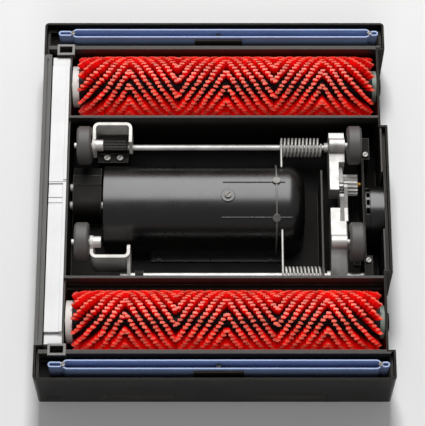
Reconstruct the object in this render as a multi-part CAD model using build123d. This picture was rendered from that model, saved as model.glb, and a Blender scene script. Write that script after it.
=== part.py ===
"""Carpet sweeper head: twin counter-rotating brushes, two suction shoes and a geared wheel lift.

Units are millimetres. The head lies on its hood, as on a bench, with the working side up:
+X points to the operator's right, +Y to the far brush and +Z out of the working side.
The origin is the middle of the footprint, on the plane that the hood pads stand on.
"""
from build123d import *
import math
import os

# ---------------------------------------------------------------- driving dimensions
# housing
body_width = 430.0          # along X, over the side walls
rim_z = 100.0               # height of the rim over the pads
hood_wall = 2.5
hood_base = 5.0             # height of the hood plate over the pads
hood_corner = 5.0           # upright corners of the hood
hood_edge = 11.0            # round lower edge of the hood
floor_space = 2.5           # between the hood plate and the tray
tray_wall = 3.0
tray_drop = 14.0            # from the rim down to the tray's outer walls
seat_gap = 0.3              # play between bodies that nest
hole_gap = 1.0              # play round a shaft that only passes through a wall
louvre_left = 50.5          # from the middle to the inner end of a louvre field
louvre_length = 83.0
louvre_z = 28.0
louvre_height = 10.0
louvre_slot = 1.6
louvre_depth = 1.0
pad_length = 50.0
pad_width = 18.0
pad_x_inset = 37.0          # from the side walls to the middle of a pad
pad_y_inset = 17.0

# handle socket
yoke_r = 12.5
yoke_lift = 3.5             # from the pads' plane to the folded socket
yoke_inset = 26.0           # from the near wall to the pivot
yoke_half = 34.0
yoke_sleeve = 0.8           # the sleeve is this much thicker than the pivot barrel
yoke_bore = 11.0
yoke_socket = 70.0
yoke_length = 92.0
yoke_pin_r = 4.0
yoke_ear = 9.0
recess_half = 46.0
recess_play = 4.0

# middle bay
bay_half = 105.5
bay_shift = -1.0            # the bay lies a little to the near side

# brushes
brush_r = 39.0              # over the bristles
brush_play = 3.5            # between bristles and tunnel
brush_side = 49.5           # from the bay wall to the brush axis
core_r = 21.0
band_width = 4.7            # wall between tunnel and shoe channel
hub_disc_r = 26.0
hub_disc_t = 8.0
hub_disc_bores = 6
hub_disc_bore_r = 3.5
end_hub_r = 20.0
end_hub_t = 5.5
end_hub_gap = 0.5
spindle_r = 6.0
notch_depth = 8.5           # the right wall steps in at the brush ends
notch_far = 66.0            # from the brush axis to the bay end of the step
notch_near = 59.0
notch_margin = 2.5
end_cover_t = 2.5
end_boss_r = 11.0
end_boss_t = 3.0
bush_r = 8.0
bush_t = 3.5

# suction shoes
channel_width = 27.0
channel_z = 72.0
shoe_offset = 1.8           # the shoe stands outside the middle of its channel
shoe_inset_left = 18.0
shoe_inset_right = 8.0
shoe_width = 12.0
shoe_wall = 1.8
shoe_top = 105.0
shoe_pinch = 20.0           # length of the small eye at the left end
shoe_pinch_right = 13.0
shoe_eye = 7.0              # width of the eyes
shoe_neck = 5.5
port_x = 5.0
port_width = 46.0
port_depth = 9.4
port_wall = 2.2
port_drop = 14.0
port_post = 5.0
collar_width = 60.0
collar_t = 2.2
port_flange = 2.0

# motor and drive
motor_y = 6.0
cover_r = 54.0
cover_wall = 2.5
cover_inset_left = 78.0
cover_inset_right = 103.0
cover_dome = 22.0
cover_flange = 7.0
cover_flange_t = 3.0
cover_boss_r = 8.5
cover_screw_left = 67.0     # from the cover's ends to its flange screws
cover_screw_right = 42.0
cover_boss_x = 16.5
cover_groove_lean = 15.0
cover_rib_lean = -34.0
motor_rise = 12.0           # of the motor axis over the cover's axis
motor_clear = 3.5           # between the stator and the cover
motor_floor_gap = 3.0       # between the stator and the tray floor
stator_wall = 9.0
air_gap = 1.0
stator_inset_left = 17.0
stator_inset_right = 34.0
bell_t = 9.0
bell_foot = 22.0
motor_shaft_r = 5.0
commutator_r = 14.0
gear_module = 1.5
drive_teeth = 16
drive_gear_width = 9.0
gearbox_gap = 3.9           # from the partition to the gearbox
gearbox_length = 35.0
gearbox_r = 16.0
gearbox_wall = 2.0
gearbox_foot = 15.0
gearbox_shelf = 24.0        # from the layshaft to the edge of the shelf
gearbox_shelf_z = 58.0
strap_band_inset = 139.5    # motor strap, from the right wall
strap_band_width = 2.0
strap_band_t = 1.4
strap_lug_r = 5.0
strap_lug_t = 2.6

# drive arms on the left
side_cover_t = 10.0
side_cover_gap = 1.5
side_cover_z = 18.5
arm_case_width = 21.5
belt_case_gap = 2.2         # between the belts and the floor of the cases
arm_case_top = 98.5
arm_case_wall = 3.0
arm_case_reach = 33.5       # beyond the brush axis
arm_case_corner = 4.0
arm_case_lip = 2.0
arm_case_lip_width = 4.0
arm_case_step = 14.0
arm_case_step_drop = 5.0
case_gap = 0.6              # between the two cases
partition_t = 1.8
partition_top = 94.0
disc_gap = 1.9
pulley_inset = 5.5
pulley_width = 12.0
drive_pulley_r = 9.0
brush_pulley_r = 15.0
belt_t = 1.8
belt_width = 10.0
window_x_inset = 27.5       # framed windows beside the drive arms
window_length = 16.0
window_width = 9.0
window_border = 3.0
window_frame_t = 1.2
window_depth = 11.0

# wheel lift
lift_shaft_r = 3.5
lift_far_y = 79.5
lift_z = 65.0
lift_shaft_inset = 99.5     # from the left wall to the shafts' left ends
far_teeth = 98
near_teeth = 132
wide_teeth = 148
pinion_teeth = 16
pinion_angle = -2.2         # direction of the pinion seen from the near shaft
near_travel = 18.0          # degrees that the near arm swings
sector_margin = 4.5         # degrees of sector beyond the travel
backlash = 0.25
running_gap = 0.05
arm_inset = 73.0            # from the right wall to the arms' left face
arm_plate = 11.5
mesh_width = 5.0
arm_bar_width = 19.0
wide_width = 4.5
far_boss_r = 14.0
near_boss_r = 10.0
wheel_boss_r = 9.0
far_bar_tip = 71.0          # from the shafts to the ends of the arms' bars
near_bar_tip = 78.0
bar_step_far = 32.5
bar_step_near = 60.0
collar_r = 6.0
shaft_collar = 4.5
pinion_width = 19.0
pinion_axle_r = 3.0
pinion_shoulder_r = 4.6
pinion_shoulder = 4.0
plate_gap = 1.6             # between the right wheels and the bearing plate
plate_t = 2.5
plate_margin = 12.0
plate_foot_half = 54.0      # from the drum's axis to each end of the plate's foot
bearing_block = 10.0
bearing_block_rise = 13.0

# wheels
wheel_r = 24.0
wheel_width = 17.6
tread_chamfer = 2.5
wheel_rim_r = 15.0
wheel_hub_r = 6.5
wheel_axle_r = 3.5
wheel_gap = 0.5
wheel_z = 95.0
far_wheel_y = 68.6
near_wheel_y = -60.6
wheel_left_inset = 54.0     # from the left wall to the middle of a left wheel
axle_nut_r = 7.0
axle_nut_t = 9.5

# straps that carry the left wheels
strap_t = 4.0
strap_width = 49.0
strap_bend = 8.0
strap_tip = 10.0            # the legs reach this far past the wheel axle
strap_top = 95.0
far_strap_bottom = 60.0
near_strap_bottom = 47.0
far_strap_back = 21.0       # from the shaft to the back of the strap
near_strap_back = 12.0
far_strap_leg = 6.0         # from the shaft to the end of the short leg
near_strap_leg = 22.0

# blocks in the bay
block_gap_left = 6.0        # from a strap's legs to the stop block
block_gap_right = 6.0
block_step = 12.0
block_low_z = 60.0
block_high_z = 72.0
block_margin = 12.5
block_rib_pitch = 4.0
pillar_inset = 118.0
pillar_t = 10.0
pillar_r = 7.0
cross_wall_inset = 84.0
cross_wall_t = 2.0
cross_wall_z = 90.0
cross_wall_far = 37.0
inner_rib_inset = 9.5

# air drum
drum_y = -6.0
drum_z = 52.0
drum_r = 36.0
drum_wall = 3.0
drum_inset = 29.0
drum_ring = 5.0
drum_window = 7.0

# springs
spring_inset = 133.0        # from the right wall
spring_turns = 11
spring_pitch = 5.0
spring_wire = 1.35
far_spring_r = 10.9
near_spring_r = 10.2
spring_sides = 12

# ---------------------------------------------------------------- worked-out places
half_w = body_width / 2
tunnel_r = brush_r + brush_play
bay_far_y = bay_half + bay_shift
bay_near_y = -bay_half + bay_shift
brush_y = bay_half + tray_wall + brush_side
band_y = brush_y + tunnel_r
channel_in = band_y + band_width
channel_out = channel_in + channel_width
tray_y = channel_out + tray_wall
half_d = tray_y + seat_gap + hood_wall
tray_x = half_w - hood_wall - seat_gap
shoe_y = channel_in + channel_width / 2 + shoe_offset
shoe_left = -half_w + shoe_inset_left
shoe_right = half_w - shoe_inset_right

yoke_z = yoke_lift + yoke_r
yoke_y = -half_d + yoke_inset
recess_top = yoke_z + yoke_r + yoke_sleeve + 0.2
floor_z = hood_base + hood_wall + floor_space + tray_wall
brush_z = recess_top + hood_wall + 0.5 + tray_wall + tunnel_r

case_left = -half_w + side_cover_t + side_cover_gap
case_right = case_left + arm_case_width
case_end = brush_y + arm_case_reach
partition_x = case_right + seat_gap
disc_left = partition_x + partition_t + disc_gap
brush_left = disc_left + hub_disc_t + 2
pulley_left = case_left + pulley_inset
end_x = half_w - notch_depth
brush_right = end_x - end_cover_t - end_hub_gap - end_hub_t
gearbox_left = partition_x + partition_t + gearbox_gap
gearbox_right = gearbox_left + gearbox_length
cover_left = -half_w + cover_inset_left
cover_right = half_w - cover_inset_right
stator_r = cover_r - cover_wall - motor_rise - motor_clear
motor_z = floor_z + motor_floor_gap + stator_r
cover_z = motor_z - motor_rise
arm_case_bottom = motor_z - drive_pulley_r - belt_t - belt_case_gap - arm_case_wall
stator_bore = stator_r - stator_wall
rotor_r = stator_bore - air_gap
stator_left = cover_left + stator_inset_left
stator_right = cover_right - stator_inset_right
lay_y = motor_y + gear_module * drive_teeth
case_split = (motor_y + lay_y) / 2
strap_band_x = half_w - strap_band_inset

far_pitch_r = gear_module * far_teeth / 2
near_pitch_r = gear_module * near_teeth / 2
wide_pitch_r = gear_module * wide_teeth / 2
pinion_pitch_r = gear_module * pinion_teeth / 2
lift_near_y = lift_far_y - far_pitch_r - near_pitch_r
far_travel = near_travel * near_teeth / far_teeth
pinion_reach = wide_pitch_r + pinion_pitch_r
pinion_y = lift_near_y + pinion_reach * math.cos(math.radians(pinion_angle))
pinion_z = lift_z + pinion_reach * math.sin(math.radians(pinion_angle))
arm_left = half_w - arm_inset
mesh_left = arm_left + arm_plate
mesh_right = mesh_left + mesh_width
wide_left = mesh_right + seat_gap
wide_right = wide_left + wide_width
wheel_right_x = wide_right + wheel_gap + wheel_width / 2
wheel_left_x = -half_w + wheel_left_inset
plate_left = wheel_right_x + wheel_width / 2 + plate_gap
plate_right = plate_left + plate_t
pinion_left = wide_left + 0.2
pinion_right = pinion_left + pinion_width
shaft_left = -half_w + lift_shaft_inset
shaft_right = plate_left + bearing_block - 3

strap_left = wheel_left_x + wheel_width / 2 + wheel_gap + 0.2
strap_right = strap_left + strap_width
block_left = strap_left + strap_t + block_gap_left - 4
block_right = strap_right - strap_t - block_gap_right + 4
block_y = motor_y + cover_r + 1.2
pillar_x = -half_w + pillar_inset
spring_left = half_w - spring_inset
spring_length = spring_pitch * (spring_turns - 1) + 2 * spring_wire
drum_left = half_w - drum_inset
sides = {"far": 1, "near": -1}


# ---------------------------------------------------------------- small helpers
def block(x0, x1, y0, y1, z0, z1):
    """A box between two corners, with the two Y ends in either order."""
    y0, y1 = sorted((y0, y1))
    return Pos((x0 + x1) / 2, (y0 + y1) / 2, (z0 + z1) / 2) * Box(x1 - x0, y1 - y0, z1 - z0)


def rod(x0, x1, y, z, radius):
    """A round bar along X."""
    return Pos((x0 + x1) / 2, y, z) * Rot(0, 90, 0) * Cylinder(radius, x1 - x0)


def ring(x0, x1, y, z, radius, bore):
    """A round bar along X with a hole through it."""
    return rod(x0, x1, y, z, radius) - rod(x0 - 1, x1 + 1, y, z, bore)


def slab(face, x0, x1):
    """A flat outline in Y and Z, given its thickness along X."""
    return extrude(Plane.YZ.offset(x0) * face, x1 - x0, dir=(1, 0, 0))


def upright(face, z0, z1):
    """A flat outline in X and Y, given its height along Z."""
    return extrude(Plane.XY.offset(z0) * face, z1 - z0, dir=(0, 0, 1))


def spot(y, z, radius):
    """A disc in Y and Z."""
    return Pos(y, z) * Circle(radius)


def patch(a0, a1, b0, b1):
    """A flat rectangle between two corners, with the first pair in either order."""
    a0, a1 = sorted((a0, a1))
    return Pos((a0 + a1) / 2, (b0 + b1) / 2) * Rectangle(a1 - a0, b1 - b0)


def tie(spots):
    """The outline that wraps round a few discs, given as (y, z, radius)."""
    return make_hull((Sketch() + [spot(*s) for s in spots]).edges())


def around(y, z, lean, shape):
    """A shape drawn over an axis along X, leaned towards +Y by an angle in degrees."""
    return Pos(0, y, z) * Rot(-lean, 0, 0) * shape


def screw_up(x, y, z, head_r=4.0, head_t=2.4):
    """A pan-head screw with a slot, its head on the plane z."""
    head = Pos(x, y, z + head_t / 2) * Cylinder(head_r, head_t)
    return head - Pos(x, y, z + head_t) * Rot(0, 0, 40) * Box(head_r * 1.5, 1.2, 1.6)


def involute(angle):
    return math.tan(angle) - angle


def tooth(module, teeth, direction):
    """One involute tooth on the circle of a gear, pointing in a direction in degrees."""
    pressure = math.radians(20)
    pitch_r = module * teeth / 2
    base_r = pitch_r * math.cos(pressure)
    tip_r = pitch_r + 0.9 * module
    root_r = pitch_r - 1.15 * module
    half = math.pi / (2 * teeth) - backlash / (2 * pitch_r) + involute(pressure)
    start_r = max(base_r, root_r)
    flank = []
    for step in range(3):
        r = start_r + (tip_r - start_r) * step / 2
        flank.append((r, half - involute(math.acos(min(1.0, base_r / r)))))
    sunk = (root_r - 0.6, flank[0][1])
    side = [sunk] + flank
    points = side + [(r, -a) for r, a in reversed(side)]
    turn = math.radians(direction)
    return Polygon(*[(r * math.cos(turn + a), r * math.sin(turn + a)) for r, a in points], align=None)


def toothed(module, teeth, directions):
    """The outline of several teeth about the gear's own centre."""
    return Sketch() + [tooth(module, teeth, d) for d in directions]


def tooth_directions(teeth, middle, low, high, offset=0.0):
    """Directions of teeth between two angles, one of them offset pitches from the middle."""
    pitch = 360 / teeth
    first = math.ceil((low - middle) / pitch - offset)
    last = math.floor((high - middle) / pitch - offset)
    return [middle + (n + offset) * pitch for n in range(first, last + 1)]


def pie(radius, low, high):
    """A slice of a disc about its own centre, between two angles in degrees."""
    ends = [(radius * math.cos(math.radians(a)), radius * math.sin(math.radians(a)))
            for a in (low, (low + high) / 2, high)]
    outline = Line((0, 0), ends[0]) + ThreePointArc(*ends) + Line(ends[2], (0, 0))
    return make_face(outline)


def full_gear(teeth, phase, x0, x1, y, z, bore):
    """A spur gear on a bore, one tooth pointing in the direction phase."""
    body = ring(x0, x1, y, z, gear_module * teeth / 2 - 1.15 * gear_module, bore)
    turns = [phase + 360 / teeth * n for n in range(teeth)]
    return body + slab(Pos(y, z) * toothed(gear_module, teeth, turns), x0, x1)


# ---------------------------------------------------------------- housing
def round_bottom(half, radius, inset, top):
    """Upright section of the hood: straight sides and round lower corners."""
    section = patch(-half + inset, half - inset, hood_base + inset, top)
    low = section.vertices().filter_by(lambda v: v.Y < top - 1)
    return fillet(low, radius)


def hood_form(inset, top):
    """The hood as a full block, set in from its outer faces, with its round lower edge."""
    radius = hood_edge - inset
    across = slab(round_bottom(half_d, radius, inset, top), -half_w, half_w)
    along = extrude(Plane.XZ.offset(-half_d) * round_bottom(half_w, radius, inset, top),
                    2 * half_d, dir=(0, -1, 0))
    outline = RectangleRounded(2 * (half_w - inset), 2 * (half_d - inset), max(hood_corner - inset, 1.0))
    return across & along & upright(outline, 0, top)


def notch_ends(s):
    """Where the step in the right wall begins and ends along Y."""
    inner = notch_far if s > 0 else notch_near
    return s * (brush_y - inner), s * (band_y + notch_margin)


def hood():
    """Outer shell: skirt up to the rim, louvres, handle recess, side openings."""
    shell = hood_form(0, rim_z) - hood_form(hood_wall, rim_z + 1)
    # recess that the folded handle socket lies in
    tub_y0 = yoke_y - yoke_r - recess_play
    tub_y1 = yoke_y + yoke_length + recess_play
    shell += block(-recess_half - hood_wall, recess_half + hood_wall, tub_y0 - hood_wall,
                   tub_y1 + hood_wall, hood_base, recess_top + hood_wall)
    shell -= block(-recess_half, recess_half, tub_y0, tub_y1, 0, recess_top)
    # ears for the pivot pin
    for x0, x1 in ((-recess_half, -yoke_half - seat_gap), (yoke_half + seat_gap, recess_half)):
        shell += block(x0, x1, yoke_y - yoke_ear, yoke_y + yoke_ear, hood_base, recess_top)
    shell -= rod(-recess_half - hood_wall - 2, recess_half + hood_wall + 2, yoke_y, yoke_z, yoke_pin_r)
    # two sunk louvre fields and a latch slot low in the near wall
    for x0 in (-louvre_left - louvre_length, louvre_left):
        x1 = x0 + louvre_length
        shell -= block(x0, x1, -half_d - 1, -half_d + louvre_depth, louvre_z, louvre_z + louvre_height)
        for n in range(3):
            z = louvre_z + louvre_slot + n * 2 * louvre_slot
            shell -= block(x0 + 2, x1 - 2, -half_d, -half_d + hood_wall + 1, z, z + louvre_slot)
    shell -= block(-half_w + 10, -half_w + 31, -half_d - 1, -half_d + hood_wall + 1,
                   louvre_z, louvre_z + 3.6)
    # left opening for the side cover, right steps for the brush ends
    shell -= block(-half_w - 1, -tray_x, -case_end - 3, case_end + 3, side_cover_z - 0.5, rim_z + 1)
    for s in sides.values():
        shell -= block(end_x, half_w + 1, *notch_ends(s), 0, rim_z + 1)
    return shell


def hood_pads():
    """Four rubber pads that the hood stands on when the head is turned over."""
    pads = Part()
    for x in (-half_w + pad_x_inset, half_w - pad_x_inset):
        for y in (-half_d + pad_y_inset, half_d - pad_y_inset):
            pads += upright(Pos(x, y) * SlotOverall(pad_length, pad_width), 0, hood_base)
    return pads


def tray_section(grow):
    """Section of the tray's pockets in Y and Z, grown by a wall."""
    shape = patch(bay_near_y - grow, bay_far_y + grow, floor_z - grow, rim_z + 1)
    for s, bay_y in ((1, bay_far_y), (-1, bay_near_y)):
        shape += patch(bay_y + s * (tray_wall - grow), s * (band_y + grow), brush_z - grow, rim_z + 1)
        shape += spot(s * brush_y, brush_z, tunnel_r + grow)
        shape += patch(s * (channel_in - grow), s * (channel_out + grow), channel_z - grow, rim_z + 1)
    return shape


def chassis():
    """Inner tray: brush tunnels, shoe channels, motor bay, bearing seats and cross walls."""
    frame = slab(tray_section(tray_wall), -tray_x, tray_x)
    frame &= hood_form(half_w - tray_x, rim_z)
    frame -= slab(tray_section(0), -tray_x + tray_wall, tray_x - tray_wall)
    # walls between tunnel and channel stay solid as one narrow band
    for s in (-1, 1):
        frame += block(-tray_x, tray_x, s * band_y, s * channel_in, channel_z - tray_wall, rim_z)
    # the tray's outer walls end below the rim
    upper = block(-half_w, half_w, -half_d, half_d, rim_z - tray_drop, rim_z + 1)
    frame -= upper - block(-tray_x + tray_wall, tray_x - tray_wall, -channel_out, channel_out, 0, rim_z + 2)
    # the left drive arms pass through all the cross walls, beside a thin partition
    frame -= block(-half_w - 1, partition_x, -case_end - hole_gap, case_end + hole_gap,
                   arm_case_bottom - 2, rim_z + 1)
    frame -= block(-half_w - 1, -half_w + side_cover_t + seat_gap, -case_end - 3, case_end + 3,
                   0, rim_z + 1)
    wall = tray_section(tray_wall) & patch(-band_y - 1, band_y + 1, 0, partition_top)
    frame += slab(wall, partition_x, partition_x + partition_t)
    for y, z, r in ((motor_y, motor_z, motor_shaft_r), (lay_y, motor_z, motor_shaft_r),
                    (brush_y, brush_z, spindle_r), (-brush_y, brush_z, spindle_r)):
        frame -= rod(partition_x - 1, partition_x + partition_t + 1, y, z, r + hole_gap)
    # cross wall between the motor and the lift arms, open round the near spring
    wall_x = half_w - cross_wall_inset
    wall = block(wall_x, wall_x + cross_wall_t, bay_near_y, cross_wall_far, floor_z, cross_wall_z)
    frame += wall - rod(wall_x - 1, wall_x + cross_wall_t + 1, lift_near_y, lift_z,
                        near_spring_r + spring_wire + hole_gap)
    # inner rib along the bay's right wall, broken by the air drum
    rib_x = half_w - inner_rib_inset
    for y0, y1 in ((bay_near_y, drum_y - drum_r - 2), (drum_y + drum_r + 2, bay_far_y)):
        frame += block(rib_x, rib_x + cross_wall_t, y0, y1, floor_z, rim_z - 3)
    for s in sides.values():
        # brush ends and their covers
        frame -= block(end_x - end_cover_t - seat_gap, half_w + 1, *notch_ends(s), 0, rim_z + 1)
        # suction port in the channel floor
        port_half = port_depth / 2 + seat_gap
        frame -= block(port_x - port_width / 2, port_x + port_width / 2, s * shoe_y - port_half,
                       s * shoe_y + port_half, channel_z - tray_wall - 1, channel_z + 1)
    return frame + window_seats() - window_holes()


def window_places():
    """Middles of the two framed windows beside the drive arms."""
    y = case_end + hole_gap + window_width / 2 + window_border
    return [(-half_w + window_x_inset, s * y) for s in sides.values()]


def window_seats():
    seats = Part()
    for x, y in window_places():
        seats += upright(Pos(x, y) * Rectangle(window_length + 2 * window_border, window_width
                         + 2 * window_border - 1), rim_z - window_depth, rim_z - window_frame_t)
    return seats


def window_holes():
    """The windows themselves, and the room that their frames take on the band."""
    holes = Part()
    for x, y in window_places():
        window = Pos(x, y) * Rectangle(window_length, window_width)
        holes += upright(window, rim_z - window_depth - 1, rim_z)
        border = Pos(x, y) * Rectangle(window_length + 2 * window_border, window_width + 2 * window_border)
        holes += upright(border, rim_z - window_frame_t, rim_z + 1)
    return holes


def window_frames():
    """Light frames round the two windows."""
    frames = Part()
    for x, y in window_places():
        rim = Rectangle(window_length + 2 * window_border - seat_gap, window_width
                        + 2 * window_border - seat_gap)
        frames += upright(Pos(x, y) * (rim - Rectangle(window_length, window_width)),
                          rim_z - window_frame_t, rim_z)
    return frames


def side_cover():
    """Left cover over the drive arms: a thin shell whose upper edge is a ledge with a groove."""
    y0, y1 = -case_end - 2.5, case_end + 2.5
    x0, x1 = -half_w, -half_w + side_cover_t
    cover = block(x0, x1, y0, y1, side_cover_z, rim_z - 2)
    cover -= block(x0 + hood_wall, x1 + 1, y0 + 3, y1 - 3, side_cover_z + 3, rim_z - 7)
    return cover - block(x0 + 4.2, x0 + 5.6, y0 + 6, y1 - 6, rim_z - 5, rim_z)


def end_cover(s):
    """Right cover over a brush's idle end: a plate with two returns and a bearing boss."""
    y0, y1 = notch_ends(s)
    y0, y1 = y0 + s * seat_gap, y1 - s * seat_gap
    z0, z1 = hood_base + hood_wall + 0.5, rim_z - 1
    plate_x = end_x - end_cover_t
    cover = block(plate_x, end_x, y0, y1, z0, z1)
    low = z0 + hood_edge
    for y in (y0, y1 - s * end_cover_t):
        cover += block(plate_x, half_w, y, y + s * end_cover_t, low, z1)
    cover += rod(plate_x, end_x + end_boss_t, s * brush_y, brush_z, end_boss_r)
    return cover - rod(plate_x - 1, plate_x + bush_t, s * brush_y, brush_z, bush_r)


# ---------------------------------------------------------------- suction shoes
def shoe_outline(inset):
    """A long flattened loop with a small eye at each end."""
    left, right = shoe_left + shoe_pinch, shoe_right - shoe_pinch_right
    loop = Pos((left + right) / 2, 0) * SlotOverall(right - left + 6 - 2 * inset, shoe_width - 2 * inset)
    for a, b in ((shoe_left, left - 3), (right + 3, shoe_right)):
        loop += Pos((a + b) / 2, 0) * SlotOverall(b - a - 2 * inset, shoe_eye - 2 * inset)
    return loop


def shoe(s):
    """Blue loop lip standing in its channel."""
    outer = shoe_outline(0)
    for x in (shoe_left + shoe_pinch - 2, shoe_right - shoe_pinch_right + 2):
        outer += Pos(x, 0) * Rectangle(shoe_eye + 2, shoe_neck)
    lip = upright(Pos(0, s * shoe_y) * (outer - shoe_outline(shoe_wall)), channel_z, shoe_top)
    return lip - block(port_x - collar_width / 2, port_x + collar_width / 2, s * shoe_y - shoe_width,
                       s * shoe_y + shoe_width, 0, channel_z + port_flange)


def suction_port(s):
    """Port frame under the shoe: duct, flange, post and the collar beside the lip."""
    y = s * shoe_y
    x0, x1 = port_x - port_width / 2 + seat_gap, port_x + port_width / 2 - seat_gap
    collar_x0, collar_x1 = port_x - collar_width / 2, port_x + collar_width / 2
    bottom = channel_z - tray_wall - port_drop
    top = channel_z + port_flange
    half = port_depth / 2
    frame = block(x0, x1, y - half, y + half, bottom, top)
    frame += block(collar_x0, collar_x1, y - shoe_width / 2 - collar_t, y + shoe_width / 2, channel_z, top)
    frame -= block(x0 + port_wall, x1 - port_wall, y - half + 2, y + half - 2, bottom - 1, top + 1)
    frame += block(port_x - port_post / 2, port_x + port_post / 2, y - 3, y + 3, bottom, shoe_top - 8)
    return frame + block(collar_x0, collar_x1, y - shoe_width / 2 - collar_t, y - shoe_width / 2,
                         channel_z, shoe_top - 5)


def shoe_screws():
    group = Part()
    for s in (-1, 1):
        for x in (shoe_left + shoe_pinch - 2, shoe_right - shoe_pinch_right + 2):
            group += screw_up(x, s * shoe_y, shoe_top, head_r=2.6, head_t=1.4)
    return group


# ---------------------------------------------------------------- motor and drive
def cover_form(r, x0, x1, bottom, edge):
    """A half-round block over straight sides, with its right end rounded."""
    arch = spot(motor_y, cover_z, r) + patch(motor_y - r, motor_y + r, bottom, cover_z)
    form = slab(arch, x0, x1) - block(x0 - 1, x1 + 1, motor_y - r - 1, motor_y + r + 1, -r, bottom)
    edges = form.faces().sort_by(Axis.X)[-1].edges().filter_by(lambda e: e.center().Z > bottom + 1)
    return fillet(edges, edge)


def motor_cover():
    """Half-round cover over the motor with a domed end, a rib, a groove and screw flanges."""
    cover = cover_form(cover_r, cover_left, cover_right, floor_z, cover_dome)
    cover -= cover_form(cover_r - cover_wall, cover_left - 1, cover_right - cover_wall, floor_z - 5,
                        cover_dome - cover_wall)
    for side in (-1, 1):
        cover += block(cover_left + 57, cover_right - cover_dome - 3, motor_y + side * (cover_r - 1),
                       motor_y + side * (cover_r + cover_flange), floor_z, floor_z + cover_flange_t)
    # groove on the far side, rib on the near side, and a round boss for the crest screw
    groove = block(cover_boss_x - 6, cover_right - 25, -0.8, 0.8, cover_r - 1.2, cover_r + 1)
    cover -= around(motor_y, cover_z, cover_groove_lean, groove)
    rib = block(cover_boss_x - 8, cover_right - 16, -0.7, 0.7, cover_r - 1, cover_r + 0.9)
    rib -= block(strap_band_x - 1, strap_band_x + strap_band_width + 1, -1, 1, cover_r, cover_r + 2)
    cover += around(motor_y, cover_z, cover_rib_lean, rib)
    return cover + Pos(cover_boss_x, motor_y - 4, cover_z + cover_r - 0.8) * Cylinder(cover_boss_r, 2.4)


def motor_cover_screws():
    group = screw_up(cover_boss_x, motor_y - 4, cover_z + cover_r + 0.4, head_r=4.2)
    for side in (-1, 1):
        for x in (cover_left + cover_screw_left, cover_right - cover_screw_right):
            group += screw_up(x, motor_y + side * (cover_r + cover_flange / 2), floor_z + cover_flange_t,
                              head_r=2.8, head_t=2)
    return group


def motor_strap():
    """Steel band round the cover near its right end, with two clamp lugs."""
    x0, x1 = strap_band_x, strap_band_x + strap_band_width
    outer = cover_r + strap_band_t
    band = ring(x0, x1, motor_y, cover_z, outer, cover_r)
    band &= block(x0, x1, motor_y - outer - 1, motor_y + outer + 1, cover_z, cover_z + outer + 1)
    for side in (-1, 1):
        band += block(x0, x1, motor_y + side * cover_r, motor_y + side * outer,
                      floor_z + cover_flange_t, cover_z)
    for lean in (cover_groove_lean + 2, cover_rib_lean):
        lug = Pos((x0 + x1) / 2, 0, cover_r + strap_lug_t / 2 - 0.4) * Cylinder(strap_lug_r, strap_lug_t)
        band += around(motor_y, cover_z, lean, lug)
    band -= rod(x0 - strap_lug_r, x1 + strap_lug_r, motor_y, cover_z, cover_r + 0.02)
    rib = block(x0 - 8, x1 + 8, -1, 1, cover_r - 1, cover_r + 1.2)
    rib -= block(x0 - 1, x1 + 1, -2, 2, cover_r - 2, cover_r + 3)
    return band - around(motor_y, cover_z, cover_rib_lean, rib)


def stator():
    """Motor can with its laminated bore."""
    return ring(stator_left, stator_right, motor_y, motor_z, stator_r, stator_bore)


def end_bells():
    """End bells of the motor with feet that stand on the bay floor."""
    group = Part()
    for x0, x1 in ((stator_left - bell_t, stator_left), (stator_right, stator_right + bell_t)):
        bell = rod(x0, x1, motor_y, motor_z, stator_r)
        bell += block(x0, x1, motor_y - bell_foot, motor_y + bell_foot, floor_z, motor_z)
        group += bell - rod(x0 - 1, x1 + 1, motor_y, motor_z, motor_shaft_r + running_gap)
    return group


def rotor():
    """Armature on its shaft, with a commutator."""
    body = rod(stator_left + 6, stator_right - 30, motor_y, motor_z, rotor_r)
    for n in range(8):
        slot = block(stator_left, stator_right - 29, -1.2, 1.2, rotor_r - 2.2, rotor_r + 2)
        body -= around(motor_y, motor_z, 45 * n, slot)
    body += rod(stator_right - 24, stator_right - 8, motor_y, motor_z, commutator_r)
    body += rod(pulley_left, stator_right + bell_t + 4, motor_y, motor_z, motor_shaft_r)
    return body


def drive_gear(y, phase):
    """Spur gear of the reversing pair."""
    x0 = gearbox_left + 8
    return full_gear(drive_teeth, phase, x0, x0 + drive_gear_width, y, motor_z, motor_shaft_r)


def gearbox():
    """Cast box for the reversing gears, standing on the bay floor, with a shelf on the far side."""
    outline = tie([(motor_y, motor_z, gearbox_r), (lay_y, motor_z, gearbox_r)])
    outline += patch(motor_y - gearbox_r, lay_y + gearbox_r, floor_z, motor_z)
    outline += patch(lay_y, lay_y + gearbox_shelf, floor_z, gearbox_shelf_z)
    # cast ledge along the top, over the layshaft
    outline += patch(lay_y - 3, lay_y + gearbox_r * 0.6, motor_z, motor_z + gearbox_r + 2)
    inner_r = gearbox_r - gearbox_wall
    box = slab(outline, gearbox_left, gearbox_right)
    box -= slab(tie([(motor_y, motor_z, inner_r), (lay_y, motor_z, inner_r)]), gearbox_left + 5,
                gearbox_left + 10 + drive_gear_width)
    bore = motor_shaft_r + running_gap
    box -= rod(gearbox_left - 1, gearbox_right - 8, lay_y, motor_z, bore)
    box -= rod(gearbox_left - 1, gearbox_right + 1, motor_y, motor_z, bore)
    return box + block(gearbox_left, gearbox_right, motor_y - gearbox_r - 20, motor_y, floor_z,
                       floor_z + gearbox_foot)


def layshaft():
    return rod(pulley_left, gearbox_right - 8 - seat_gap, lay_y, motor_z, motor_shaft_r)


def pulley(y, z, radius, bore):
    """Flanged belt pulley."""
    x1 = pulley_left + pulley_width
    wheel = rod(pulley_left, x1, y, z, radius)
    for x in (pulley_left, x1 - 1):
        wheel += rod(x, x + 1, y, z, radius + 1)
    return wheel - rod(pulley_left - 1, x1 + 1, y, z, bore)


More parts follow.
